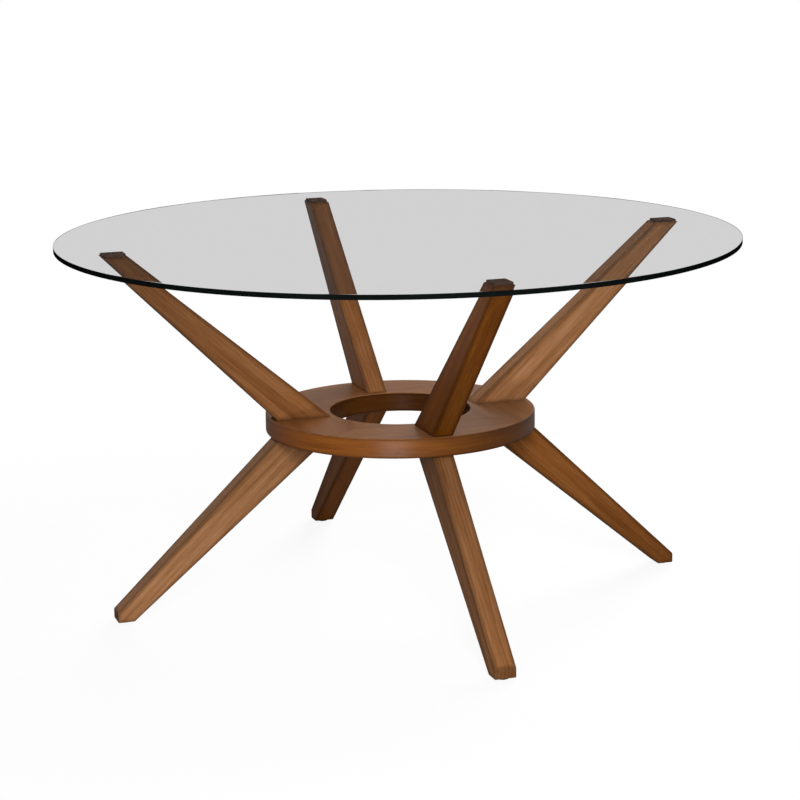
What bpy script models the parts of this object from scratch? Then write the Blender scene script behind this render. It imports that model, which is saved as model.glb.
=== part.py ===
"""Round dining table: a clear glass top on four splayed arms, a wooden ring and four splayed legs.

Metres, +Z up. The origin is on the floor under the table's middle. Each arm stands above a leg,
and such a pair is called a station here. A station's own frame has X pointing outwards, Y along
the ring and Z up.
"""
import math

import bmesh
import bpy
from mathutils import Matrix

# Whole table
TABLE_HEIGHT = 0.760
GAP = 0.0003            # air left between pieces that touch
STATIONS = {"front": -90.0, "right": 0.0, "back": 90.0, "left": 180.0}

# Glass top
GLASS_DIAMETER = 1.400
GLASS_THICKNESS = 0.010
GLASS_ARRIS = 0.0012    # rounding of the polished edge
GLASS_STEPS = 128

# Ring between arms and legs
RING_OUTER_DIAMETER = 0.560
RING_INNER_DIAMETER = 0.290
RING_THICKNESS = 0.040
RING_UNDERSIDE = 0.356
RING_EASING = 0.004
RING_STEPS = 96

# Boards: arms and legs
BOARD_THICKNESS = 0.044
BOARD_EASING = 0.002
FOOT_OUTER_SETBACK = 0.010      # from the ring's outer edge to the board
FOOT_INNER_SETBACK = 0.0115     # from the ring's hole to the board
ARM_TIP_RADIUS = 0.618
ARM_TIP_LENGTH = 0.051
LEG_TOE_RADIUS = 0.615
LEG_SOLE_LENGTH = 0.034
LEG_TOE_FACET = 0.020           # height of the upright cut at the toe

# Pads under the glass
PAD_THICKNESS = 0.004
PAD_MARGIN = 0.0025
PAD_CORNER = 0.004

# Clamp bolts, from a counterbore in the leg up into an insert in the arm
BOLT_DIAMETER = 0.008
BOLT_CHAMFER = 0.0006
BOLT_HEAD_DIAMETER = 0.013
BOLT_HEAD_HEIGHT = 0.008
BOLT_SOCKET_FLATS = 0.006
BOLT_SOCKET_DEPTH = 0.004
BOLT_ENGAGEMENT = 0.021
BOLT_CLEARANCE = 0.0004
COUNTERBORE_CLEARANCE = 0.0006
CLAMPED_WOOD = 0.020            # wood of the leg between ring and washer
WASHER_DIAMETER = 0.020
WASHER_THICKNESS = 0.0016
INSERT_DIAMETER = 0.013
INSERT_LENGTH = 0.025
INSERT_RECESS = 0.0005
INSERT_END_SPACE = 0.001

# Dowels that keep the boards square on the ring
DOWEL_DIAMETER = 0.008
DOWEL_DEPTH = 0.015             # into each of the two pieces
DOWEL_CHAMFER = 0.0008
DOWEL_COVER = 0.006             # wood left over the end of the inner dowel
DOWEL_OUTER_INSET = 0.022

# Glides nailed under the legs
GLIDE_DIAMETER = 0.024
GLIDE_HEIGHT = 0.003
GLIDE_EASING = 0.0008
NAIL_DIAMETER = 0.003
NAIL_LENGTH = 0.014
NAIL_POINT = 0.003

ROUND_STEPS = 20                # sides of small turned pieces and bores
CORNER_STEPS = 2                # segments of a rounded corner
PAST = 0.002                    # how far a cutter runs past the face it opens

# Heights
SOLE = GLIDE_HEIGHT + GAP
LEG_TOP = RING_UNDERSIDE - GAP
RING_TOP = RING_UNDERSIDE + RING_THICKNESS
ARM_BOTTOM = RING_TOP + GAP
GLASS_UNDERSIDE = TABLE_HEIGHT - GLASS_THICKNESS
PAD_BOTTOM = GLASS_UNDERSIDE - GAP - PAD_THICKNESS
ARM_TOP = PAD_BOTTOM - GAP
SEAT = LEG_TOP - CLAMPED_WOOD
WASHER_BOTTOM = SEAT - GAP - WASHER_THICKNESS
BOLT_SHOULDER = WASHER_BOTTOM - GAP
BOLT_TIP = ARM_BOTTOM + BOLT_ENGAGEMENT

# Distances from the table's axis
FOOT_INNER = RING_INNER_DIAMETER / 2 + FOOT_INNER_SETBACK
FOOT_OUTER = RING_OUTER_DIAMETER / 2 - FOOT_OUTER_SETBACK
ARM_TIP_INNER = ARM_TIP_RADIUS - ARM_TIP_LENGTH
LEG_HEEL = LEG_TOE_RADIUS - LEG_SOLE_LENGTH
PAD_MIDDLE = (ARM_TIP_RADIUS + ARM_TIP_INNER) / 2
GLIDE_MIDDLE = (LEG_TOE_RADIUS + LEG_HEEL) / 2
BOLT_RADIUS = (FOOT_INNER + FOOT_OUTER) / 2

# How far the boards' inner faces run outwards for each metre of height
ARM_SPLAY = (ARM_TIP_INNER - FOOT_INNER) / (ARM_TOP - ARM_BOTTOM)
LEG_SPLAY = (LEG_HEEL - FOOT_INNER) / (LEG_TOP - SOLE)

DOWEL_BORE = DOWEL_DIAMETER / 2 + GAP
DOWEL_REACH = DOWEL_DEPTH + GAP
DOWEL_INNER = FOOT_INNER + DOWEL_BORE + (DOWEL_REACH + DOWEL_COVER) * max(ARM_SPLAY, LEG_SPLAY)
DOWEL_OUTER = FOOT_OUTER - DOWEL_OUTER_INSET
COUNTERBORE = WASHER_DIAMETER / 2 + COUNTERBORE_CLEARANCE
COUNTERBORE_BOTTOM = LEG_TOP - (BOLT_RADIUS + COUNTERBORE - FOOT_INNER) / LEG_SPLAY - PAST


def new_collection(name, parent):
    """Makes a collection under another one."""
    collection = bpy.data.collections.new(name)
    parent.children.link(collection)
    return collection


def material(name, colour, roughness, metallic=0.0, alpha=1.0):
    """Makes a plain Principled material."""
    made = bpy.data.materials.new(name)
    made.use_nodes = True
    shader = made.node_tree.nodes["Principled BSDF"]
    shader.inputs["Base Color"].default_value = (*colour, 1.0)
    shader.inputs["Roughness"].default_value = roughness
    shader.inputs["Metallic"].default_value = metallic
    shader.inputs["Alpha"].default_value = alpha
    return made


def place(name, mesh, look, parent=None, location=(0.0, 0.0, 0.0)):
    """Puts a mesh into the table as a named piece."""
    piece = bpy.data.objects.new(name, mesh)
    piece.location = location
    piece.parent = parent
    if not mesh.materials:
        mesh.materials.append(look)
    TABLE.objects.link(piece)
    return piece


def rounded_rectangle(x_low, x_high, y_low, y_high, radius):
    """Corner points of a rectangle with rounded corners, starting top right and running clockwise."""
    corners = [
        (x_high, y_high, 90.0), (x_high, y_low, 0.0), (x_low, y_low, -90.0), (x_low, y_high, -180.0)]
    points = []
    for x, y, start in corners:
        middle_x = x - math.copysign(radius, x - x_low - radius)
        middle_y = y - math.copysign(radius, y - y_low - radius)
        for step in range(CORNER_STEPS + 1):
            angle = math.radians(start - 90.0 * step / CORNER_STEPS)
            points.append((middle_x + radius * math.cos(angle), middle_y + radius * math.sin(angle)))
    return points


def flat_mesh(name, outline, thickness):
    """Extrudes a flat outline to both sides of its plane, as a closed mesh."""
    curve = bpy.data.curves.new(name, "CURVE")
    curve.dimensions = "2D"
    curve.fill_mode = "BOTH"
    curve.extrude = thickness / 2
    spline = curve.splines.new("POLY")
    spline.points.add(len(outline) - 1)
    for point, (x, y) in zip(spline.points, outline):
        point.co = (x, y, 0.0, 1.0)
    spline.use_cyclic_u = True
    guide = bpy.data.objects.new(name, curve)
    bpy.context.scene.collection.objects.link(guide)
    evaluated = guide.evaluated_get(bpy.context.evaluated_depsgraph_get())
    mesh = bpy.data.meshes.new_from_object(evaluated)
    bpy.data.objects.remove(guide)
    shape = bmesh.new()
    shape.from_mesh(mesh)
    bmesh.ops.remove_doubles(shape, verts=shape.verts, dist=0.00001)
    bmesh.ops.dissolve_limit(shape, angle_limit=math.radians(0.5), verts=shape.verts, edges=shape.edges)
    shape.to_mesh(mesh)
    shape.free()
    mesh.name = name
    return mesh


def board_mesh(name, outline, joint_height):
    """A board stood on edge, from its side view. Every edge off the joint is marked for easing."""
    mesh = flat_mesh(name, outline, BOARD_THICKNESS)
    mesh.transform(Matrix.Rotation(math.radians(90.0), 4, "X"))
    shape = bmesh.new()
    shape.from_mesh(mesh)
    weight = shape.edges.layers.float.new("bevel_weight_edge")
    for edge in shape.edges:
        at_joint = all(abs(vertex.co.z - joint_height) < GAP for vertex in edge.verts)
        edge[weight] = 0.0 if at_joint else 1.0
    shape.to_mesh(mesh)
    shape.free()
    return mesh


def ease(piece, width):
    """Rounds the edges that carry a bevel weight."""
    bevel = piece.modifiers.new("easing", "BEVEL")
    bevel.limit_method = "WEIGHT"
    bevel.width = width
    bevel.segments = CORNER_STEPS
    bevel.use_clamp_overlap = True


def turned(piece_name, profile, look, parent=None, location=(0.0, 0.0, 0.0), steps=ROUND_STEPS,
           closed=False):
    """Turns a profile about Z. The profile runs down its outer side."""
    mesh = bpy.data.meshes.new(piece_name)
    count = len(profile)
    edges = [(index, index + 1) for index in range(count - 1)]
    if closed:
        edges.append((count - 1, 0))
    mesh.from_pydata([(x, 0.0, z) for x, z in profile], edges, [])
    piece = place(piece_name, mesh, look, parent, location)
    screw = piece.modifiers.new("turning", "SCREW")
    screw.axis = "Z"
    screw.angle = math.tau
    screw.steps = steps
    screw.render_steps = steps
    screw.use_merge_vertices = True
    screw.merge_threshold = 0.00001
    screw.use_smooth_shade = True
    return piece


def cylinder_mesh(name, radius, height, sides=ROUND_STEPS):
    """A closed cylinder about Z, centred on its origin."""
    mesh = bpy.data.meshes.new(name)
    shape = bmesh.new()
    bmesh.ops.create_cone(
        shape, cap_ends=True, segments=sides, radius1=radius, radius2=radius, depth=height)
    shape.to_mesh(mesh)
    shape.free()
    return mesh


def bore(name, radius, low, high, parent, distance, sides=ROUND_STEPS):
    """An upright cutter in a station's frame."""
    cutter = bpy.data.objects.new(name, cylinder_mesh(name, radius, high - low, sides))
    cutter.location = (distance, 0.0, (low + high) / 2)
    cutter.parent = parent
    cutter.hide_render = True
    cutter.display_type = "WIRE"
    CUTTERS.objects.link(cutter)
    return cutter


def cut(piece, cutters):
    """Takes each cutter away from a piece."""
    for cutter in cutters:
        boolean = piece.modifiers.new(cutter.name, "BOOLEAN")
        boolean.operation = "DIFFERENCE"
        boolean.solver = "EXACT"
        boolean.object = cutter


def make_glass():
    """The glass disc, with a polished edge that is rounded top and bottom."""
    radius = GLASS_DIAMETER / 2
    edge = rounded_rectangle(0.0, radius, 0.0, GLASS_THICKNESS, GLASS_ARRIS)[:2 * CORNER_STEPS + 2]
    profile = [(0.0, GLASS_THICKNESS), *edge, (0.0, 0.0)]
    return turned("glass_top", profile, CLEAR, location=(0.0, 0.0, GLASS_UNDERSIDE), steps=GLASS_STEPS)


def make_ring(cutters):
    """The wooden ring, with every bore of the four stations."""
    profile = rounded_rectangle(
        RING_INNER_DIAMETER / 2, RING_OUTER_DIAMETER / 2, RING_UNDERSIDE, RING_TOP, RING_EASING)
    ring = turned("centre_ring", profile, WOOD, steps=RING_STEPS, closed=True)
    cut(ring, cutters)
    return ring


def make_station(name, angle):
    """One arm, the leg below it and all that joins them. Returns the cutters that the ring needs."""
    station = bpy.data.objects.new(f"station_{name}", None)
    station.rotation_euler.z = math.radians(angle)
    TABLE.objects.link(station)

    hole = BOLT_DIAMETER / 2 + BOLT_CLEARANCE
    insert_top = ARM_BOTTOM + INSERT_RECESS + INSERT_LENGTH
    bolt_bore = bore(f"bolt_bore_{name}", hole, SEAT - PAST, RING_TOP + PAST, station, BOLT_RADIUS)
    counterbore = bore(
        f"counterbore_{name}", COUNTERBORE, COUNTERBORE_BOTTOM, SEAT, station, BOLT_RADIUS)
    insert_bore = bore(
        f"insert_bore_{name}", INSERT_DIAMETER / 2 + GAP, ARM_BOTTOM - PAST,
        insert_top + INSERT_END_SPACE, station, BOLT_RADIUS)
    nail_bore = bore(
        f"nail_bore_{name}", NAIL_DIAMETER / 2 + GAP, SOLE - PAST, GLIDE_HEIGHT + NAIL_LENGTH + GAP,
        station, GLIDE_MIDDLE)
    upper_bores = make_dowels(f"arm_dowel_{name}", RING_TOP, station)
    lower_bores = make_dowels(f"leg_dowel_{name}", LEG_TOP, station)

    arm = place(f"arm_{name}", ARM_MESH.copy(), WOOD, station)
    ease(arm, BOARD_EASING)
    cut(arm, [insert_bore, *upper_bores])
    leg = place(f"leg_{name}", LEG_MESH.copy(), WOOD, station)
    ease(leg, BOARD_EASING)
    cut(leg, [counterbore, bolt_bore, nail_bore, *lower_bores])

    pad_place = (PAD_MIDDLE, 0.0, PAD_BOTTOM + PAD_THICKNESS / 2)
    place(f"glass_pad_{name}", PAD_MESH, RUBBER, station, pad_place)
    make_glide(name, station)
    make_bolt(name, station)
    return [bolt_bore, *upper_bores, *lower_bores]


def make_dowels(name, joint, station):
    """Two dowels across the joint that starts at a height, and the bores that take them."""
    middle = joint + GAP / 2
    half = DOWEL_DEPTH + GAP / 2
    radius = DOWEL_DIAMETER / 2
    profile = [(0.0, half), (radius - DOWEL_CHAMFER, half), (radius, half - DOWEL_CHAMFER),
               (radius, DOWEL_CHAMFER - half), (radius - DOWEL_CHAMFER, -half), (0.0, -half)]
    bores = []
    for end, distance in (("inner", DOWEL_INNER), ("outer", DOWEL_OUTER)):
        turned(f"{name}_{end}", profile, DOWEL_WOOD, station, (distance, 0.0, middle))
        low, high = joint - DOWEL_REACH, joint + GAP + DOWEL_REACH
        bores.append(bore(f"bore_{name}_{end}", DOWEL_BORE, low, high, station, distance))
    return bores


def make_bolt(name, station):
    """The clamp bolt, its washer in the counterbore and the threaded insert in the arm."""
    shank, head = BOLT_DIAMETER / 2, BOLT_HEAD_DIAMETER / 2
    head_end = BOLT_SHOULDER - BOLT_HEAD_HEIGHT
    axis = (BOLT_RADIUS, 0.0, 0.0)
    profile = [(0.0, BOLT_TIP), (shank - BOLT_CHAMFER, BOLT_TIP), (shank, BOLT_TIP - BOLT_CHAMFER),
               (shank, BOLT_SHOULDER), (head, BOLT_SHOULDER), (head, head_end + BOLT_CHAMFER),
               (head - BOLT_CHAMFER, head_end), (0.0, head_end)]
    bolt = turned(f"clamp_bolt_{name}", profile, STEEL, station, axis)
    socket_radius = BOLT_SOCKET_FLATS / 2 / math.cos(math.radians(30.0))
    socket = bore(
        f"bolt_socket_{name}", socket_radius, head_end - PAST, head_end + BOLT_SOCKET_DEPTH,
        station, BOLT_RADIUS, 6)
    cut(bolt, [socket])

    hole = shank + GAP
    washer = [(WASHER_DIAMETER / 2, SEAT - GAP), (WASHER_DIAMETER / 2, WASHER_BOTTOM),
              (hole, WASHER_BOTTOM), (hole, SEAT - GAP)]
    turned(f"washer_{name}", washer, STEEL, station, axis, closed=True)

    low = ARM_BOTTOM + INSERT_RECESS
    high = low + INSERT_LENGTH
    insert = [(INSERT_DIAMETER / 2, high), (INSERT_DIAMETER / 2, low), (hole, low), (hole, high)]
    turned(f"threaded_insert_{name}", insert, STEEL, station, axis, closed=True)


def make_glide(name, station):
    """A plastic glide with its nail, under the sole of a leg."""
    radius, nail = GLIDE_DIAMETER / 2, NAIL_DIAMETER / 2
    top = GLIDE_HEIGHT + NAIL_LENGTH
    rim = rounded_rectangle(0.0, radius, 0.0, GLIDE_HEIGHT, GLIDE_EASING)[:2 * CORNER_STEPS + 2]
    profile = [(0.0, top), (nail, top - NAIL_POINT), (nail, GLIDE_HEIGHT), *rim, (0.0, 0.0)]
    turned(f"foot_glide_{name}", profile, PLASTIC, station, (GLIDE_MIDDLE, 0.0, 0.0))


for old in list(bpy.data.objects):
    bpy.data.objects.remove(old)

TABLE = new_collection("round_dining_table", bpy.context.scene.collection)
CUTTERS = new_collection("cutters", bpy.context.scene.collection)

CLEAR = material("clear_glass", (0.80, 0.84, 0.83), 0.03, alpha=0.35)
WOOD = material("walnut", (0.27, 0.125, 0.055), 0.42)
DOWEL_WOOD = material("beech", (0.55, 0.38, 0.22), 0.6)
RUBBER = material("dark_rubber", (0.02, 0.017, 0.015), 0.65)
STEEL = material("zinc_steel", (0.62, 0.62, 0.60), 0.32, metallic=1.0)
PLASTIC = material("brown_plastic", (0.05, 0.03, 0.02), 0.5)

ARM_MESH = board_mesh("arm", [
    (ARM_TIP_RADIUS, ARM_TOP), (FOOT_OUTER, ARM_BOTTOM), (FOOT_INNER, ARM_BOTTOM),
    (ARM_TIP_INNER, ARM_TOP),
], ARM_BOTTOM)
LEG_MESH = board_mesh("leg", [
    (LEG_TOE_RADIUS, SOLE), (LEG_HEEL, SOLE), (FOOT_INNER, LEG_TOP), (FOOT_OUTER, LEG_TOP),
    (LEG_TOE_RADIUS, SOLE + LEG_TOE_FACET),
], LEG_TOP)
PAD_MESH = flat_mesh("glass_pad", rounded_rectangle(
    PAD_MARGIN - ARM_TIP_LENGTH / 2, ARM_TIP_LENGTH / 2 - PAD_MARGIN,
    PAD_MARGIN - BOARD_THICKNESS / 2, BOARD_THICKNESS / 2 - PAD_MARGIN, PAD_CORNER), PAD_THICKNESS)

make_glass()
ring_cutters = []
for station_name, station_angle in STATIONS.items():
    ring_cutters.extend(make_station(station_name, station_angle))
make_ring(ring_cutters)
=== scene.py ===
# %% [markdown]
# # A round dining table with a glass top
# The CAD model already holds every piece of this table at its real size. This lesson gives it its
# looks. The pieces that show most, which are the glass, the ring and the eight boards, are modelled
# again with finer edges. Everything else keeps its CAD mesh and gets a material. The frame is
# loaded first, because each new piece is set against it.

# %% Load the frame
import math
from functools import partial

import bmesh
import bpy
from mathutils import Matrix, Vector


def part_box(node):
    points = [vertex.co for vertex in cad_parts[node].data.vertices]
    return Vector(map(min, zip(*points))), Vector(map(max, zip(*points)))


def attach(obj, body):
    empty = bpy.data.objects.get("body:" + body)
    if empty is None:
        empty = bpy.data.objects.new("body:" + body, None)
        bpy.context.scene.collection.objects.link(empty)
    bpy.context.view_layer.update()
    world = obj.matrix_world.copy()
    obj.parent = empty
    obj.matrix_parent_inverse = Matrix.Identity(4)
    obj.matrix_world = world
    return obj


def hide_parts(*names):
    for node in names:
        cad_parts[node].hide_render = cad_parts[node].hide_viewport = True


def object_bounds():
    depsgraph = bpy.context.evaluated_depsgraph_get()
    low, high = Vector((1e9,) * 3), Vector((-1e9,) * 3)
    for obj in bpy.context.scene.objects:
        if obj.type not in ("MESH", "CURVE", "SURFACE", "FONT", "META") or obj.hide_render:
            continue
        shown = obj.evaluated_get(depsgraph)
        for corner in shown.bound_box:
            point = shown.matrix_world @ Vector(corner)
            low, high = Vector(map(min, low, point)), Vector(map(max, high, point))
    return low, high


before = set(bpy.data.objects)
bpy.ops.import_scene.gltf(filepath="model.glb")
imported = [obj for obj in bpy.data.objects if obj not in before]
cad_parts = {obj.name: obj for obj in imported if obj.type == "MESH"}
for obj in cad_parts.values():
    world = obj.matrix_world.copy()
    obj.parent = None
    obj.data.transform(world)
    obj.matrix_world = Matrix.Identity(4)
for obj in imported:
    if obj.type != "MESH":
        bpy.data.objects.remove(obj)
cad_low, cad_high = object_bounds()
print(f"Loaded {len(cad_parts)} CAD nodes, {cad_high[0] - cad_low[0]:.3f} m wide")

# %% [markdown]
# ## The camera
# The table was photographed from almost five metres away through a long lens, from a little above
# its top, so its lines hardly converge. A camera can be aimed by eye, but here its place was solved
# from the edges of the boards, the ring and the glass, and the numbers below are that solution.

# %% Camera
CAMERA_DISTANCE = 4.8706        # these are in metres and radians
CAMERA_HEIGHT = 1.5020
CAMERA_PITCH = 0.2200
CAMERA_ROLL = -0.0137
CAMERA_TURN = -0.3167           # the arms lie on the axes, so the camera goes round the table
FOCAL_PIXELS = 2399.5
IMAGE_PIXELS = 800


def facing_table(turn, distance, height, pitch):
    """The place of something that stands off the table and looks at it."""
    stand = Matrix.Translation((0.0, -distance, height))
    return Matrix.Rotation(turn, 4, "Z") @ stand @ Matrix.Rotation(math.pi / 2 - pitch, 4, "X")


camera_data = bpy.data.cameras.new("camera")
camera_data.lens = FOCAL_PIXELS * camera_data.sensor_width / IMAGE_PIXELS
camera = bpy.data.objects.new("camera", camera_data)
camera.matrix_world = (facing_table(CAMERA_TURN, CAMERA_DISTANCE, CAMERA_HEIGHT, CAMERA_PITCH)
                       @ Matrix.Rotation(CAMERA_ROLL, 4, "Z"))
bpy.context.scene.collection.objects.link(camera)
bpy.context.scene.camera = camera
bpy.context.scene.view_settings.view_transform = "Standard"
print(f"Camera with a {camera_data.lens:.1f} mm lens")

# %% [markdown]
# ## Shader maths
# A material is a net of nodes. Wired by hand, each node takes several lines, and a formula is hard
# to read among them. This small class wraps an output socket, so that a sum or product of two wires
# adds the Math node that makes it, and one method adds a node of any other kind.


# %% Wires between nodes
class Wire:
    """An output socket in a node tree. Arithmetic on wires adds Math nodes."""

    def __init__(self, tree, socket=None):
        self.tree = tree
        self.socket = socket

    def node(self, kind, settings, sockets, output=0):
        """Adds a node: its settings first, then the values or links of its sockets."""
        made = self.tree.nodes.new(kind)
        for name, value in settings.items():
            if name == "stops":
                stops = made.color_ramp.elements
                while len(stops) < len(value):
                    stops.new(1.0)
                for stop, (place, colour) in zip(stops, value):
                    stop.position = place
                    stop.color = (*colour, 1.0)
            else:
                setattr(made, name, value)
        for name, value in sockets.items():
            if isinstance(value, Wire):
                self.tree.links.new(value.socket, made.inputs[name])
            else:
                made.inputs[name].default_value = value
        return Wire(self.tree, made.outputs[output] if made.outputs else None)

    def other(self, output):
        """Another output of the node that this wire comes from."""
        return Wire(self.tree, self.socket.node.outputs[output])

    def maths(self, operation, first, second=0.0):
        """A Math node on two wires or numbers."""
        return self.node("ShaderNodeMath", {"operation": operation}, {0: first, 1: second})

    def between(self, low, high):
        """0 up to low, 1 from high, and smooth in between."""
        sockets = {"Value": self, "From Min": low, "From Max": high}
        return self.node("ShaderNodeMapRange", {"interpolation_type": "SMOOTHSTEP"}, sockets)

    def __add__(self, more):
        return self.maths("ADD", self, more)

    def __sub__(self, less):
        return self.maths("SUBTRACT", self, less)

    def __rsub__(self, whole):
        return self.maths("SUBTRACT", whole, self)

    def __mul__(self, factor):
        return self.maths("MULTIPLY", self, factor)

    __radd__ = __add__
    __rmul__ = __mul__


def new_look(name):
    """An empty material, the start of its net, and the place of each spot in the object."""
    look = bpy.data.materials.new(name)
    look.use_nodes = True
    look.node_tree.nodes.clear()
    net = Wire(look.node_tree)
    return look, net, net.node("ShaderNodeTexCoord", {}, {}, "Object")


def show(net, shader):
    """Ends a net: the surface shows what this shader makes."""
    net.node("ShaderNodeOutputMaterial", {}, {"Surface": shader})


print("Wires add, subtract and multiply")

# %% [markdown]
# ## The studio floor
# The table stands on a white ground with hardly a shadow. A very bright floor would throw its light
# back on the wood and wash it out. So the floor is an ordinary one for the light that bounces off
# it, and only rays from the camera, the glass or a mirror meet its white. Close to the table some
# of the ordinary floor is left in, so that the shadow of the legs stays, and the varnish mirrors
# the shaded floor there.

# %% Floor
FLOOR_WIDTH = 80.0
FLOOR_DROP = 0.0004             # keeps the floor off the glides
FLOOR_GREY = 0.18               # for the light that it throws back
FLOOR_PALE = 0.90               # as it is seen
SHADOW_SHARE = 0.10
SHADOW_FADE = (0.6, 2.2)        # how far out the shadow's share starts to fade, and is gone
MIRROR_FADE = (1.2, 8.0)        # how far out a mirror starts to meet the white, and meets it all

bpy.ops.object.select_all(action="DESELECT")
bpy.ops.mesh.primitive_plane_add(size=FLOOR_WIDTH, location=(0.0, 0.0, cad_low[2] - FLOOR_DROP))
floor = bpy.context.object
floor.name = "studio_floor"
look, net, spot = new_look("studio_floor")
away = net.node("ShaderNodeVectorMath", {"operation": "LENGTH"}, {0: spot}, "Value")
path = net.node("ShaderNodeLightPath", {}, {}, "Is Camera Ray")
seen = path.maths("MAXIMUM", path, path.other("Is Transmission Ray"))
share = (seen * (1.0 - SHADOW_SHARE + away.between(*SHADOW_FADE) * SHADOW_SHARE)
         + path.other("Is Glossy Ray") * away.between(*MIRROR_FADE))
floor_tone = seen * (FLOOR_PALE - FLOOR_GREY) + FLOOR_GREY
ordinary = net.node("ShaderNodeBsdfDiffuse", {}, {"Color": floor_tone})
white = net.node("ShaderNodeEmission", {}, {"Strength": 1.0})
shown = net.node("ShaderNodeMixShader", {},
                 {0: share.maths("MINIMUM", share, 1.0), 1: ordinary, 2: white})
show(net, shown)
floor.data.materials.append(look)
print(f"Floor {FLOOR_WIDTH:.0f} m wide")

# %% [markdown]
# ## The studio light
# The boards that face the camera are bright and those that lean away are dark, with soft edges
# between. So the main light is one tall soft box behind the camera and above it, and an area light
# is just that. A second box stands behind the table for its far side, and a low strip in front
# draws a gleam on the ring. The rest of the room only fills in. It is white for the camera and
# through the glass, but a real room has dark corners too, so the varnish mirrors it at less.

# %% Lamps and room
AMBIENT = 0.09                  # how bright the room is as a light
MIRRORED = 0.40                 # and how bright as the varnish mirrors it
LAMPS = {                       # turn from the camera, distance, height, width, length, watts
    "soft_box": (0.06, 5.4, 2.75, 1.8, 2.8, 325.0),
    "back_box": (math.pi - 0.38, 4.6, 2.2, 2.6, 1.8, 300.0),
    "low_strip": (-0.08, 1.9, 0.10, 0.34, 0.12, 9.0),
}
ring_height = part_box("centre_ring")[0].z

for name, (turn, distance, height, width, length, watts) in LAMPS.items():
    lamp = bpy.data.lights.new(name, "AREA")
    lamp.shape = "RECTANGLE"
    lamp.size = width
    lamp.size_y = length
    lamp.energy = watts
    stand = bpy.data.objects.new(name, lamp)
    stand.matrix_world = facing_table(CAMERA_TURN + turn, distance, height,
                                      math.atan2(height - ring_height, distance))
    stand.visible_camera = False
    stand.visible_transmission = False
    # A mirrored box would lie across the glass as a white sheet, so only the strip is mirrored.
    stand.visible_glossy = name == "low_strip"
    bpy.context.scene.collection.objects.link(stand)

room = bpy.data.worlds.new("studio_room")
room.use_nodes = True
room.node_tree.nodes.clear()
net = Wire(room.node_tree)
path = net.node("ShaderNodeLightPath", {}, {}, "Is Camera Ray")
seen = path + path.other("Is Glossy Ray") * MIRRORED + path.other("Is Transmission Ray")
strength = seen.maths("MINIMUM", seen, 1.0) * (1.0 - AMBIENT) + AMBIENT
walls = net.node("ShaderNodeBackground", {},
                 {"Color": (1.0, 1.0, 1.0, 1.0), "Strength": strength})
net.node("ShaderNodeOutputWorld", {}, {"Surface": walls})
bpy.context.scene.world = room
print(len(LAMPS), "lamps")

# %% [markdown]
# ## Tools of the bench
# Modelling by hand goes in one order: add a primitive, apply its place to its mesh, go into edit
# mode, pick some faces or edges, and shape them. These helpers do the picking and the applying. A
# face is picked by a test of its place or normal, because its number changes with every operation.


# %% Pick and settle
def start_piece(name):
    """Names the primitive just added, and applies its place to its mesh."""
    piece = bpy.context.object
    piece.name = name
    bpy.ops.object.transform_apply(location=True, rotation=True, scale=True)
    return piece


def pick(kind, test):
    """Selects the verts, edges or faces that pass a test, in edit mode."""
    bpy.ops.mesh.select_mode(type=kind)
    bpy.ops.mesh.select_all(action="DESELECT")
    mesh = bpy.context.object.data
    shape = bmesh.from_edit_mesh(mesh)
    parts = {"VERT": shape.verts, "EDGE": shape.edges, "FACE": shape.faces}[kind]
    for part in parts:
        if test(part):
            part.select_set(True)
    shape.select_flush_mode()
    bmesh.update_edit_mesh(mesh)


def only(piece):
    """Makes a piece the one selected and active object."""
    bpy.ops.object.select_all(action="DESELECT")
    piece.select_set(True)
    bpy.context.view_layer.objects.active = piece


print("Picking and settling ready")

# %% [markdown]
# ## Drilling and smoothing
# Bolts and dowels hold the wood together, and each one needs its hole. Faces can be deleted and
# bridged by hand, but a boolean is closest to a real drill: cylinders are joined to one tool, and
# the tool is taken away from the wood. At the end the shading is rounded over the eased edges, and
# weighted normals keep it level on the broad faces.

# %% Bore and smooth
BORE_SIDES = 32
SLIVER = 0.00002                # a cut can leave edges shorter than this
SMOOTH_ANGLE = 40.0             # degrees; a sharper edge stays an edge
FACE_WEIGHT = 100               # the broad faces decide the shading


def bore(piece, holes):
    """Drills upright holes, each with its radius, x, y, low end and high end."""
    drills = []
    for radius, x, y, low, high in holes:
        bpy.ops.mesh.primitive_cylinder_add(vertices=BORE_SIDES, radius=radius, depth=high - low,
                                            location=(x, y, (low + high) / 2))
        drills.append(bpy.context.object)
    only(drills[0])
    for drill in drills:
        drill.select_set(True)
    bpy.ops.object.join()
    drill = start_piece("drill")
    only(piece)
    cut = piece.modifiers.new("bores", "BOOLEAN")
    cut.object = drill
    cut.solver = "EXACT"
    cut.use_self = True
    bpy.ops.object.modifier_apply(modifier=cut.name)
    bpy.data.objects.remove(drill)
    bpy.ops.object.mode_set(mode="EDIT")
    bpy.ops.mesh.select_all(action="SELECT")
    bpy.ops.mesh.dissolve_degenerate(threshold=SLIVER)
    bpy.ops.object.mode_set(mode="OBJECT")


def smooth(piece):
    """Rounds the shading over the eased edges, and keeps the broad faces flat."""
    only(piece)
    bpy.ops.object.shade_smooth_by_angle(angle=math.radians(SMOOTH_ANGLE))
    level = piece.modifiers.new("level", "WEIGHTED_NORMAL")
    level.weight = FACE_WEIGHT
    level.keep_sharp = True
    bpy.ops.object.modifier_apply(modifier=level.name)


print("Drilling and smoothing ready")

# %% [markdown]
# ## The glass disc
# The top is one disc of float glass, 10 mm thick, with a ground and polished edge. It is a cylinder
# with many sides, because its outline shows large. The two rims get the small bevel that a glazier
# grinds on them, and each flat gets an inset close to the rim, so that the shading of the bevel
# stays there.

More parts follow.
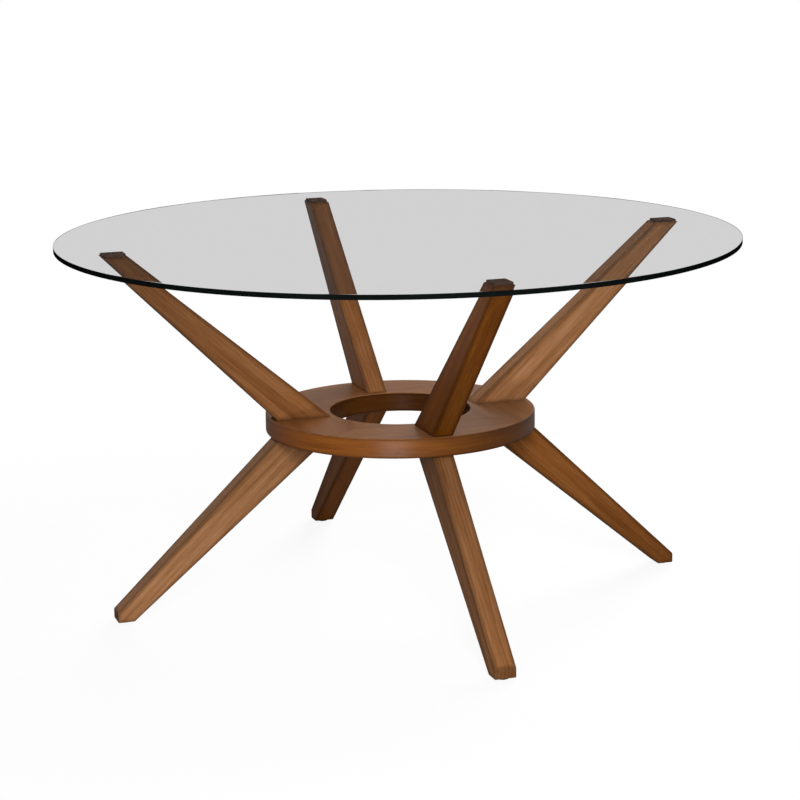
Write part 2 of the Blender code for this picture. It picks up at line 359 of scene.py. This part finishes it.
# %% Model the glass disc
GLASS_SIDES = 320
GLASS_ARRIS = 0.0007
ARRIS_STEPS = 4
GLASS_INSET = 0.003
LEVEL = 0.999                   # the upright part of a level face's normal is more than this

glass_low, glass_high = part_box("glass_top")
glass_radius = glass_high.x
glass_middle = (glass_low.z + glass_high.z) / 2
bpy.ops.object.select_all(action="DESELECT")
bpy.ops.mesh.primitive_cylinder_add(vertices=GLASS_SIDES, radius=glass_radius,
                                    depth=glass_high.z - glass_low.z,
                                    location=(0.0, 0.0, glass_middle))
glass = start_piece("glass_disc")
bpy.ops.object.mode_set(mode="EDIT")
pick("EDGE", lambda edge: edge.verts[0].co.z == edge.verts[1].co.z)
bpy.ops.mesh.bevel(offset=GLASS_ARRIS, segments=ARRIS_STEPS, affect="EDGES")
pick("FACE", lambda face: abs(face.normal.z) > LEVEL)
bpy.ops.mesh.inset(thickness=GLASS_INSET)
bpy.ops.object.mode_set(mode="OBJECT")
smooth(glass)
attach(glass, "top")
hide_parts("glass_top")
print(f"Glass {2 * glass_radius:.3f} m across, {len(glass.data.polygons)} faces")

# %% [markdown]
# ## Clear glass
# Ten millimetres of float glass takes away some of the light, and mirrors a little of the room. One
# Principled shader can do it, but it mirrors the whole room at a low angle, and the boards under it
# have to stay clear. So the glass is built from its two halves, a refraction with a grey tint and a
# faint mirror, mixed by Fresnel. A ray that looks for a lamp goes straight through, so that light
# reaches the wood and the floor below.

# %% Glass material
GLASS_TINT = 0.803              # light goes through it twice, once at each face
GLASS_SHADOW = 0.93
GLASS_IOR = 1.5
MIRROR_SHARE = 0.03
SMEAR_SCALE = 5.0
SMEAR_DETAIL = 3.0
SMEARED = (0.45, 0.75)          # the noise at which a smear starts, and is full
CLEAN_ROUGHNESS = 0.01
SMEAR_ROUGHNESS = 0.06          # what a smear adds


def noise(net, where, scale, detail, roughness=0.5):
    """Cloudy noise from 0 to 1."""
    sockets = {"Vector": where, "Scale": scale, "Detail": detail, "Roughness": roughness}
    return net.node("ShaderNodeTexNoise", {}, sockets, "Fac")


def grey(value):
    """A colour whose three parts are alike."""
    return value, value, value, 1.0


look, net, spot = new_look("clear_float_glass")
smear = noise(net, spot, SMEAR_SCALE, SMEAR_DETAIL).between(*SMEARED)
through = net.node("ShaderNodeBsdfRefraction", {},
                   {"Color": grey(GLASS_TINT), "Roughness": 0.0, "IOR": GLASS_IOR})
mirror = net.node("ShaderNodeBsdfGlossy", {},
                  {"Roughness": smear * SMEAR_ROUGHNESS + CLEAN_ROUGHNESS})
facing = net.node("ShaderNodeFresnel", {}, {"IOR": GLASS_IOR})
clear = net.node("ShaderNodeMixShader", {}, {0: facing * MIRROR_SHARE, 1: through, 2: mirror})
passing = net.node("ShaderNodeBsdfTransparent", {}, {"Color": grey(GLASS_SHADOW)})
shadow = net.node("ShaderNodeLightPath", {}, {}, "Is Shadow Ray")
show(net, net.node("ShaderNodeMixShader", {}, {0: shadow, 1: clear, 2: passing}))
glass.data.materials.append(look)
print("Glass lets", round(GLASS_TINT ** 2, 2), "of the light through")

# %% [markdown]
# ## The edge of the glass
# Seen from the side, light has gone a long way through the sheet, and the green in float glass turns
# nearly black. A volume could do that, but slowly and with noise. So the polished edge gets a dark
# material of its own, which is assigned to the faces that don't point straight up or down. From
# inside the sheet the far edge is a full mirror, as it is in real glass, and Fresnel switches that
# on.

# %% Edge material
EDGE_STOPS = [(0.30, (0.002, 0.003, 0.0028)), (0.70, (0.0042, 0.006, 0.0056))]
EDGE_SCALE = 9.0
EDGE_DETAIL = 2.0
EDGE_ROUGHNESS = 0.05
EDGE_UNEVEN = 0.06              # what the noise adds to it
EDGE_MIRROR = 0.95
EDGE_MIRROR_ROUGHNESS = 0.02
FULL_MIRROR = (0.80, 1.00)      # the Fresnel share at which the mirror starts, and is full
NEARLY_LEVEL = 0.98

look, net, spot = new_look("polished_glass_edge")
depth = noise(net, spot, EDGE_SCALE, EDGE_DETAIL)
green = net.node("ShaderNodeValToRGB", {"stops": EDGE_STOPS}, {"Fac": depth})
edge = net.node("ShaderNodeBsdfPrincipled", {},
                {"Base Color": green, "Roughness": depth * EDGE_UNEVEN + EDGE_ROUGHNESS,
                 "Specular IOR Level": 0.0})
mirror = net.node("ShaderNodeBsdfGlossy", {},
                  {"Color": grey(EDGE_MIRROR), "Roughness": EDGE_MIRROR_ROUGHNESS})
inside = net.node("ShaderNodeFresnel", {}, {"IOR": GLASS_IOR}).between(*FULL_MIRROR)
show(net, net.node("ShaderNodeMixShader", {}, {0: inside, 1: edge, 2: mirror}))
glass.data.materials.append(look)
only(glass)
bpy.ops.object.mode_set(mode="EDIT")
pick("FACE", lambda face: abs(face.normal.z) < NEARLY_LEVEL)
glass.active_material_index = 1
bpy.ops.object.material_slot_assign()
bpy.ops.object.mode_set(mode="OBJECT")
print("Edge on", sum(face.material_index for face in glass.data.polygons), "faces")

# %% [markdown]
# ## The ring
# The boards meet at a flat ring with softly rounded corners. A ring could be a cylinder with a hole,
# but its rounding would need care at four rims. Here the section is drawn once, as a plane with its
# corners bevelled, and then spun round the table's middle.

# %% Model the ring
RING_STEPS = 192
RING_HOLE = 0.145               # its radius
RING_EASING = 0.004
RING_EASING_STEPS = 6
SEAM = 0.00001                  # the two ends of the spin are closer than this

ring_low, ring_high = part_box("centre_ring")
ring_middle = (ring_low.z + ring_high.z) / 2
ring_reach = (RING_HOLE + ring_high.x) / 2
bpy.ops.object.select_all(action="DESELECT")
bpy.ops.mesh.primitive_plane_add(size=1.0, rotation=(math.pi / 2, 0.0, 0.0),
                                 location=(ring_reach, 0.0, ring_middle))
bpy.context.object.scale = (ring_high.x - RING_HOLE, ring_high.z - ring_low.z, 1.0)
ring = start_piece("walnut_ring")
bpy.ops.object.mode_set(mode="EDIT")
pick("VERT", lambda vert: True)
bpy.ops.mesh.bevel(offset=RING_EASING, segments=RING_EASING_STEPS, affect="VERTICES")
bpy.ops.mesh.select_all(action="SELECT")
bpy.ops.mesh.delete(type="ONLY_FACE")
bpy.ops.mesh.select_all(action="SELECT")
bpy.ops.mesh.spin(steps=RING_STEPS, angle=2 * math.pi, center=(0.0, 0.0, 0.0),
                  axis=(0.0, 0.0, 1.0))
bpy.ops.mesh.select_all(action="SELECT")
bpy.ops.mesh.remove_doubles(threshold=SEAM)
bpy.ops.mesh.normals_make_consistent(inside=False)
bpy.ops.object.mode_set(mode="OBJECT")
print(f"Ring {2 * ring_high.x:.3f} m across, {len(ring.data.polygons)} faces")

# %% [markdown]
# ## Holes in the ring
# At each of four stations a bolt goes through the ring, and dowels sit in its upper and lower face.
# None of them shows, but wood can't fill the same place as steel. A bore could be set out by hand.
# The CAD model has the bolts and dowels already, so each bore takes its place from the piece in it.

# %% Bore the ring
STATIONS = {"right": 0.0, "back": 90.0, "left": 180.0, "front": 270.0}      # in degrees
CLEARANCE = 0.0003
BOLT_BORE = 0.0044              # a radius, as for every bore


def dowel_hole(node):
    """The bore that a dowel needs, from the dowel's own box."""
    low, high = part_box(node)
    radius = (high.x - low.x) / 2 + CLEARANCE
    x, y = (low.x + high.x) / 2, (low.y + high.y) / 2
    return radius, x, y, low.z - CLEARANCE, high.z + CLEARANCE


holes = []
for station in STATIONS:
    low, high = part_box(f"clamp_bolt_{station}")
    holes.append((BOLT_BORE, (low.x + high.x) / 2, (low.y + high.y) / 2, low.z, high.z))
    for board in ("arm", "leg"):
        for end in ("inner", "outer"):
            holes.append(dowel_hole(f"{board}_dowel_{station}_{end}"))
bore(ring, holes)
smooth(ring)
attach(ring, "base")
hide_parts("centre_ring")
print(f"Ring with {len(holes)} bores, {len(ring.data.polygons)} faces")

# %% [markdown]
# ## A tapering board
# Arms and legs are thick boards that lean out from the ring and get narrower on the way. One could
# be an outline with a thickness, but a block is quicker. It starts as wide as the board's foot, and
# one end face is moved outwards and scaled, which makes the slope and the taper in one step. A plane
# eases the edges of a real board, and a bevel does it here. The wood is darker in a narrow border
# along such edges, so an inset marks the border off, and an attribute tells it apart.

# %% Taper and ease a board
FOOT = (0.1565, 0.270)          # where the slanting edges meet the ring, from the table's middle
END_FACE = 0.9                  # the upright part of an end face's normal is more than this
ON_JOINT = 0.0005               # what is closer to the ring's face than this lies on it
BOARD_EASING = 0.002
BOARD_EASING_STEPS = 4
LARGE_FACE = 0.0008             # in square metres; only faces above this get a border
EDGE_WIDTH = 0.007              # how far in from an edge the wood stays darker
foot_middle = sum(FOOT) / 2


def tapered_board(name, low, high, moved_end, moved_to):
    """A block on the board's foot, with one end face moved out and scaled."""
    foot_width = FOOT[1] - FOOT[0]
    bpy.ops.object.select_all(action="DESELECT")
    bpy.ops.mesh.primitive_cube_add(size=1.0, location=(foot_middle, 0.0, (low.z + high.z) / 2))
    bpy.context.object.scale = (foot_width, high.y - low.y, high.z - low.z)
    board = start_piece(name)
    bpy.ops.object.mode_set(mode="EDIT")
    pick("FACE", lambda face: face.normal.z * moved_end > END_FACE)
    slide = sum(moved_to) / 2 - foot_middle
    bpy.ops.transform.translate(value=(slide, 0.0, 0.0))
    bpy.ops.transform.resize(value=((moved_to[1] - moved_to[0]) / foot_width, 1.0, 1.0),
                             center_override=(foot_middle + slide, 0.0, 0.0))
    return board


def off_joint(part, joint_height):
    """Whether an edge or face is none of those that lie on the ring."""
    return any(abs(vert.co.z - joint_height) > ON_JOINT for vert in part.verts)


def ease(joint_height):
    """Bevels every edge but those on the ring, and marks the edges where the wood is darker."""
    pick("EDGE", lambda edge: off_joint(edge, joint_height))
    bpy.ops.mesh.bevel(offset=BOARD_EASING, segments=BOARD_EASING_STEPS, affect="EDGES")
    bpy.ops.object.mode_set(mode="OBJECT")
    bpy.ops.geometry.attribute_add(name="edge", domain="POINT", data_type="FLOAT")
    bpy.ops.object.mode_set(mode="EDIT")
    bpy.ops.mesh.select_all(action="SELECT")
    bpy.ops.mesh.attribute_set(value_float=1.0)
    pick("FACE", lambda face: face.calc_area() > LARGE_FACE and off_joint(face, joint_height))
    bpy.ops.mesh.inset(thickness=EDGE_WIDTH, use_individual=True)
    bpy.ops.mesh.attribute_set(value_float=0.0)
    bpy.ops.object.mode_set(mode="OBJECT")


print(f"Boards start {FOOT[1] - FOOT[0]:.4f} m wide")

# %% [markdown]
# ## The arms
# An arm stands on the ring and carries the glass on its tip, so it is the tapering board with its
# top moved out. All four could be modelled in place, but they are alike, so one is made on the
# right and copied later. The bolt screws into a steel insert in its foot, with a dowel on each side,
# and the wood is bored for all three.

# %% Model one arm
ARM_TIP = (0.567, 0.618)        # where the slanting edges meet the top, from the table's middle
OVERRUN = 0.001                 # how far a drill starts outside the wood, or goes past the insert

arm_low, arm_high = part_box("arm_right")
arm = tapered_board("walnut_arm_right", arm_low, arm_high, 1.0, ARM_TIP)
ease(arm_low.z)
low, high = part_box("threaded_insert_right")
insert_radius = (high.x - low.x) / 2 + CLEARANCE
arm_holes = [
    (insert_radius, (low.x + high.x) / 2, 0.0, arm_low.z - OVERRUN, high.z + OVERRUN),
    dowel_hole("arm_dowel_right_inner"),
    dowel_hole("arm_dowel_right_outer"),
]
bore(arm, arm_holes)
smooth(arm)
print(f"Arm {arm_high.z - arm_low.z:.3f} m high, {len(arm.data.polygons)} faces")

# %% [markdown]
# ## The legs
# A leg is the same board the other way up, and longer. Its toe would run out to a sharp point on the
# floor, so the real one is cut upright there. A bisect does the same: it cuts the mesh along a
# plane, takes away the point and fills the cut. The bolt's head sits in a wider hole that comes in
# from the hidden lower face.

# %% Model one leg
LEG_SOLE = (0.581, 0.6358)      # before the toe is cut
NAIL_BORE = 0.0018
HEAD_BORE_START = 0.285         # a height under the sloping lower face
BORE_LAP = 0.002                # how far the bolt's bore starts inside the wider one

leg_low, leg_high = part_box("leg_right")
leg = tapered_board("walnut_leg_right", leg_low, leg_high, -1.0, LEG_SOLE)
bpy.ops.mesh.select_all(action="SELECT")
bpy.ops.mesh.bisect(plane_co=(leg_high.x, 0.0, 0.0), plane_no=(1.0, 0.0, 0.0), use_fill=True,
                    clear_outer=True)
ease(leg_high.z)
washer_low, washer_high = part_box("washer_right")
head_radius = washer_high.y + CLEARANCE
bolt_middle = (washer_low.x + washer_high.x) / 2
glide_low, glide_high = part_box("foot_glide_right")
nail_middle = (glide_low.x + glide_high.x) / 2
leg_holes = [
    (head_radius, bolt_middle, 0.0, HEAD_BORE_START, washer_high.z + CLEARANCE),
    (BOLT_BORE, bolt_middle, 0.0, washer_high.z - BORE_LAP, leg_high.z + OVERRUN),
    dowel_hole("leg_dowel_right_inner"),
    dowel_hole("leg_dowel_right_outer"),
    (NAIL_BORE, nail_middle, 0.0, leg_low.z - OVERRUN, glide_high.z + CLEARANCE),
]
bore(leg, leg_holes)
smooth(leg)
print(f"Leg {leg_high.z - leg_low.z:.3f} m high, {len(leg.data.polygons)} faces")

# %% [markdown]
# ## Four of each
# The table has four stations, a quarter turn apart. Linked copies would share one mesh, and a mesh
# can only hold one place. So each copy gets its own, is turned round the table's middle, and has
# its turn applied, so that its place is in its mesh as it is for the CAD nodes.

# %% Copy the boards round the ring
boards = {("arm", "right"): arm, ("leg", "right"): leg}
for (kind, _), first in list(boards.items()):
    for station, angle in STATIONS.items():
        if station == "right":
            continue
        only(first)
        bpy.ops.object.duplicate(linked=False)
        copy = bpy.context.object
        copy.rotation_euler.z = math.radians(angle)
        boards[kind, station] = start_piece(f"walnut_{kind}_{station}")
for (kind, station), board in boards.items():
    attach(board, "base")
    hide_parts(f"{kind}_{station}")
print(len(boards), "boards")

# %% [markdown]
# ## Grain along a board
# In a board the grain runs along its length, and each face is another cut through the same wood. A
# picture wrapped round it would break at its edges, so the grain here is solid: the coordinates are
# turned into the board's own length, and noise that is stretched along it fills the wood. Stain
# soaks into end grain, and the wood is darker along the edges too, so a mask for both is made in
# the same place.

# %% Lay the grain
HALF_BOARD = 0.26               # about half of a board's length
END_GRAIN = (0.55, 0.85)        # how square to the grain a face has to be for some, and for all
GRAIN = {                       # stretch, shift in the tree, scale, detail and roughness of each
    "streak": (0.06, 0.0, 42.0, 4.0, 0.6),
    "fibre": (0.035, 0.5, 260.0, 4.0, 0.7),
    "pore": (0.03, 0.9, 1400.0, 1.0, 0.5),
}
TREE_STEP = (3.1, 1.7, 2.3)     # from one board's wood to the next one's


def along_board(net, spot, middle, tilt, turn):
    """Board coordinates with x along it, where end grain and edges darken, and how far out a spot
    is.
    """
    board = net.node("ShaderNodeMapping", {"vector_type": "TEXTURE"},
                     {"Vector": spot, "Location": middle, "Rotation": (0.0, -tilt, turn)})
    length = (math.cos(tilt) * math.cos(turn), math.cos(tilt) * math.sin(turn), math.sin(tilt))
    slope = net.node("ShaderNodeVectorMath", {"operation": "DOT_PRODUCT"},
                     {0: spot.other("Normal"), 1: length}, "Value")
    end_grain = slope.maths("ABSOLUTE", slope).between(*END_GRAIN)
    edge = net.node("ShaderNodeAttribute", {"attribute_name": "edge"}, {}, "Fac")
    out = net.node("ShaderNodeSeparateXYZ", {}, {"Vector": board}, "X") * (1.0 / HALF_BOARD)
    return board, edge.maths("MAXIMUM", edge, end_grain), out


def grain(net, board, seed, kind):
    """Noise drawn out along the board, in wood of the board's own."""
    stretch, shift, scale, detail, roughness = GRAIN[kind]
    moved = tuple((seed + shift) * step for step in TREE_STEP)
    drawn = net.node("ShaderNodeMapping", {"vector_type": "POINT"},
                     {"Vector": board, "Location": moved, "Scale": (stretch, 1.0, 1.0)})
    return noise(net, drawn, scale, detail, roughness)


print("Grain of", len(GRAIN), "kinds")

# %% [markdown]
# ## Walnut
# Walnut is a brown wood with fine dark pores, streaks that run along the board, and growth rings
# that show as soft bands. One brown would look like plastic, so rings about a far pith, streaks and
# fibres are added up to a shade, and a ramp turns the shade into brown. A satin varnish lies over
# it, rougher in the pores, and the stained end grain and the edges are darker.

# %% Walnut material
WOOD = (                        # each shade and its colour
    (0.30, (0.146, 0.050, 0.0125)),
    (0.50, (0.262, 0.103, 0.0335)),
    (0.70, (0.378, 0.172, 0.068)),
)
WARM_GREEN, WARM_BLUE = 0.18, 0.55      # what warmth takes away from each
RING_SHARE, STREAK_SHARE, FIBRE_SHARE = 0.06, 0.46, 0.48
PORES = (0.60, 0.74)            # the noise at which a pore starts, and is full
PORE_DARK, EDGE_END_DARK = 0.30, 0.42
VARNISH_ROUGHNESS = 0.34        # and what fibres, pores and the darker edges and end grain add to it
FIBRE_ROUGH, PORE_ROUGH, EDGE_END_ROUGH = 0.10, 0.15, 0.10
RELIEF_STRENGTH, RELIEF_HEIGHT = 0.12, 0.0004
FIBRE_HIGH, PORE_DEEP = 0.6, 0.7
PITH_AWAY = 0.085               # from the board's middle to the heart of the tree
PITH_SWAY = (0.012, 0.03)       # how much that place differs from board to board
PITH_STRETCH = 0.22


def growth_rings(net, board, seed):
    """Soft bands round a pith that lies beside the board, for each board in another place."""
    pith = (seed * 1.3, PITH_AWAY + PITH_SWAY[0] * math.sin(seed * 5.0),
            PITH_SWAY[1] * math.sin(seed * 3.0))
    beside = net.node("ShaderNodeMapping", {"vector_type": "POINT"},
                      {"Vector": board, "Location": pith, "Scale": (PITH_STRETCH, 1.0, 1.0)})
    return net.node("ShaderNodeTexWave",
                    {"wave_type": "RINGS", "rings_direction": "X", "wave_profile": "SIN"},
                    {"Vector": beside, "Scale": 44.0, "Distortion": 7.0, "Detail": 3.0,
                     "Detail Scale": 0.28, "Detail Roughness": 0.6}, "Fac")


def wood_stops(tone, warmth):
    """The stops of a ramp from dark to pale wood, in a board's own tone."""
    tint = (tone, tone * (1.0 - WARM_GREEN * warmth), tone * (1.0 - WARM_BLUE * warmth))
    return [(shade, tuple(part * share for part, share in zip(colour, tint)))
            for shade, colour in WOOD]


def walnut(name, seed, lay, tone, warmth, shade_drift=0.0, gloss=0.07):
    """Walnut whose grain is laid by a function, in its own tone, with painted shade paler to one
    end.
    """
    look, net, spot = new_look(name)
    board, edge_and_end, out = lay(net, spot)
    rings = growth_rings(net, board, seed)
    streak = grain(net, board, seed, "streak")
    fibre = grain(net, board, seed, "fibre")
    pores = grain(net, board, seed, "pore").between(*PORES)
    shade = rings * RING_SHARE + streak * STREAK_SHARE + fibre * FIBRE_SHARE
    colour = net.node("ShaderNodeValToRGB", {"stops": wood_stops(tone, warmth)}, {"Fac": shade})
    # Pores and the darker edges and end grain take colour away, and the shade drift paints light and
    # shade that grow towards one end of the board.
    light = (1.0 - (pores * PORE_DARK + edge_and_end * EDGE_END_DARK)) * (out * shade_drift + 1.0)
    light = net.node("ShaderNodeCombineColor", {}, {0: light, 1: light, 2: light})
    colour = net.node("ShaderNodeMix", {"data_type": "RGBA", "blend_type": "MULTIPLY"},
                      {0: 1.0, 6: colour, 7: light}, 2)
    raised = net.node("ShaderNodeBump", {},
                      {"Strength": RELIEF_STRENGTH, "Distance": RELIEF_HEIGHT,
                       "Height": fibre * FIBRE_HIGH - pores * PORE_DEEP})
    rough = VARNISH_ROUGHNESS + fibre * FIBRE_ROUGH + pores * PORE_ROUGH + edge_and_end * EDGE_END_ROUGH
    wood = net.node("ShaderNodeBsdfPrincipled", {},
                    {"Base Color": colour, "Roughness": rough, "Specular IOR Level": gloss,
                     "Normal": raised})
    show(net, wood)
    return look


print("Walnut from", len(WOOD), "browns")

# %% [markdown]
# ## Wood for each board
# No two boards come from the same place in the tree. One material on all eight would repeat its
# streaks, so each board gets its own stretch of wood and a tone a little lighter or darker than its
# neighbour's. Part of that tone is the wood's own, and part is painted light and shade: the boards
# that face the lamp are painted paler and greyer, those that face down into shade darker and
# warmer, and a painted falloff of light runs along each board.

# %% Walnut on the boards
# Painted light and shade: the right arm and the left leg are painted paler and greyer where they
# face the lamp, the front arm and the back leg darker and warmer where they face down into shade,
# and the third number paints light and shade along each board, such as the shade under the ring at
# the top of the front leg.
TONES = {                       # each board's tone, warmth, and how much paler its far end is
    ("arm", "right"): (1.06, -0.78, -0.08), ("arm", "left"): (0.61, 0.00, -0.24),
    ("arm", "front"): (0.54, 1.50, 0.20), ("arm", "back"): (0.71, 0.00, -0.15),
    ("leg", "right"): (0.65, 0.70, -0.10), ("leg", "left"): (0.95, -0.80, 0.12),
    ("leg", "front"): (0.68, -0.35, 0.22), ("leg", "back"): (0.64, 1.35, 0.00),
}
FIRST_BOARD_SEED = 1.0
tip_middle = sum(ARM_TIP) / 2
sole_middle = (LEG_SOLE[0] + leg_high.x) / 2
LENGTHS = {                     # from the ring to the far end, as x and z of each
    "arm": (foot_middle, arm_low.z, tip_middle, arm_high.z),
    "leg": (foot_middle, leg_high.z, sole_middle, leg_low.z),
}


def dress(piece, look):
    """Gives a piece one material all over."""
    piece.data.materials.clear()
    piece.data.materials.append(look)


for seed, ((kind, station), board) in enumerate(boards.items()):
    x0, z0, x1, z1 = LENGTHS[kind]
    turn = math.radians(STATIONS[station])
    reach = (x0 + x1) / 2
    middle = (reach * math.cos(turn), reach * math.sin(turn), (z0 + z1) / 2)
    tilt = math.atan2(z1 - z0, x1 - x0)
    lay = partial(along_board, middle=middle, tilt=tilt, turn=turn)
    tone, warmth, shade_drift = TONES[kind, station]
    dress(board, walnut(f"walnut_{kind}_{station}", seed + FIRST_BOARD_SEED, lay, tone, warmth,
                        shade_drift))
print("Walnut on", len(boards), "boards")

# %% [markdown]
# ## Wood for the ring
# A ring can't be cut from one plank without weak short grain, so a maker glues it up from four
# segments. Each one has its middle under an arm, so that the bolt and dowels there sit in long
# grain. Round the outside and in the hole a band of veneer covers the cut ends. Outside, the band
# has painted light at its left and painted shade at its right, and in the hole it is painted dark
# with shade. A segment's grain follows its chord, and the band's follows the circle, so its
# coordinates are unrolled with an arctangent.

# %% Walnut on the ring
RING_WOOD = {                   # each part's tone, warmth, drift and gloss
    "right": (0.70, -0.40, 0.0, 0.18), "back": (0.72, 0.20, 0.0, 0.18),
    "left": (0.63, 0.30, 0.0, 0.18), "front": (0.68, 0.00, 0.0, 0.18),
    # The hole's low tone and high warmth are painted shade in the hollow of the ring.
    # The outside band's drift and warmth paint light at its left and shade at its right.
    "outside": (0.505, 1.30, -0.38, 0.26), "hole": (0.22, 1.20, 0.0, 0.07),
}
FIRST_RING_SEED = 20.0
STEEP = 0.7                     # the upright part of a normal is less than this on a band
RIM_DARKENING = (0.012, 0.020)      # how far off the band's middle the darkening starts, and is full
BAND_CHANGE = (-0.60, 0.45)     # how far right the painted shade starts to change the tone, and has changed it


def ring_part(face):
    """The part of the ring that a face belongs to: a band, or the segment of the nearest arm."""
    at = face.calc_center_median()
    if abs(face.normal.z) < STEEP:
        return "outside" if face.normal.x * at.x + face.normal.y * at.y > 0.0 else "hole"
    turned = math.degrees(math.atan2(at.y, at.x))
    return min(STATIONS, key=lambda name: abs((turned - STATIONS[name] + 180.0) % 360.0 - 180.0))


def round_ring(net, spot):
    """The unrolled band, x along it, its darker rims, and -1 at left to 1 at right for painted
    shade.
    """
    x = net.node("ShaderNodeSeparateXYZ", {}, {"Vector": spot}, "X")
    y, z = x.other("Y"), x.other("Z")
    flat = net.node("ShaderNodeCombineXYZ", {}, {"X": x, "Y": y})
    away = net.node("ShaderNodeVectorMath", {"operation": "LENGTH"}, {0: flat}, "Value")
    above = z - ring_middle
    band = net.node("ShaderNodeCombineXYZ", {}, {"X": x.maths("ARCTAN2", y, x) * ring_high.x,
                                                 "Y": away - ring_high.x, "Z": above})
    rims = above.maths("ABSOLUTE", above).between(*RIM_DARKENING)
    right = (x * (1.0 / ring_high.x)).between(*BAND_CHANGE) * 2.0 - 1.0
    return band, rims, right


ring.data.materials.clear()
only(ring)
bpy.ops.object.mode_set(mode="EDIT")
for seed, (part, (tone, warmth, shade_drift, gloss)) in enumerate(RING_WOOD.items()):
    lay = round_ring
    if part in STATIONS:
        turn = math.radians(STATIONS[part])
        middle = (ring_reach * math.cos(turn), ring_reach * math.sin(turn), ring_middle)
        lay = partial(along_board, middle=middle, tilt=0.0, turn=turn + math.pi / 2)
    look = walnut(f"walnut_ring_{part}", seed + FIRST_RING_SEED, lay, tone, warmth, shade_drift, gloss)
    ring.data.materials.append(look)
    pick("FACE", lambda face: ring_part(face) == part)
    ring.active_material_index = len(ring.data.materials) - 1
    bpy.ops.object.material_slot_assign()
bpy.ops.object.mode_set(mode="OBJECT")
print(len(ring.data.materials), "kinds of wood on the ring")

# %% [markdown]
# ## Rubber, plastic, steel and beech
# The small pieces keep their CAD meshes: rubber pads under the glass, plastic glides under the feet,
# and the bolts, washers, inserts and dowels inside. Each is a plain finish with a fine unevenness of
# its own, so one function makes all four, and the numbers say how mottled, how rough and how bumpy
# each one is.

# %% Finishes of the small pieces
GRIT_FINER = 9.0                # grit against cloud
CLOUD_SHARE, GRIT_SHARE = 0.7, 0.3
CLOUD_DETAIL, GRIT_DETAIL = 4.0, 2.0
DARK_AT, PALE_AT = 0.32, 0.68
GRIT_HEIGHT = 0.0002
EVEN = (1.0, 1.0, 1.0)
UPRIGHT_GRAIN = (1.0, 1.0, 0.06)


def small_finish(name, dark, pale, scale, stretch, rough, metal=0.0, gloss=0.5, bump=0.1):
    """A finish whose colour and roughness wander between two values."""
    look, net, spot = new_look(name)
    drawn = net.node("ShaderNodeMapping", {"vector_type": "POINT"},
                     {"Vector": spot, "Scale": stretch})
    cloud = noise(net, drawn, scale, CLOUD_DETAIL)
    grit = noise(net, drawn, scale * GRIT_FINER, GRIT_DETAIL)
    colour = net.node("ShaderNodeValToRGB", {"stops": [(DARK_AT, dark), (PALE_AT, pale)]},
                      {"Fac": cloud * CLOUD_SHARE + grit * GRIT_SHARE})
    raised = net.node("ShaderNodeBump", {},
                      {"Strength": bump, "Distance": GRIT_HEIGHT, "Height": grit})
    body = net.node("ShaderNodeBsdfPrincipled", {},
                    {"Base Color": colour, "Roughness": rough[0] + cloud * (rough[1] - rough[0]),
                     "Metallic": metal, "Specular IOR Level": gloss, "Normal": raised})
    show(net, body)
    return look


FINISHES = {
    "glass_pad": small_finish("dark_rubber", (0.048, 0.024, 0.014), (0.076, 0.040, 0.024), 220.0,
                              EVEN, (0.55, 0.75), gloss=0.1, bump=0.3),
    "foot_glide": small_finish("brown_plastic", (0.038, 0.022, 0.013), (0.060, 0.036, 0.022),
                               160.0, EVEN, (0.40, 0.55), gloss=0.4, bump=0.15),
    "clamp_bolt": small_finish("zinc_steel", (0.52, 0.53, 0.53), (0.68, 0.68, 0.66), 400.0,
                               EVEN, (0.24, 0.42), metal=1.0, bump=0.08),
    "arm_dowel": small_finish("beech", (0.44, 0.27, 0.14), (0.62, 0.43, 0.26), 500.0,
                              UPRIGHT_GRAIN, (0.55, 0.75), gloss=0.3, bump=0.2),
}
FINISHES["washer"] = FINISHES["threaded_insert"] = FINISHES["clamp_bolt"]
FINISHES["leg_dowel"] = FINISHES["arm_dowel"]
dressed = 0
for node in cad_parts:
    for start, look in FINISHES.items():
        if node.startswith(start):
            dress(bpy.data.objects[node], look)
            dressed += 1
print(dressed, "small pieces have a finish")
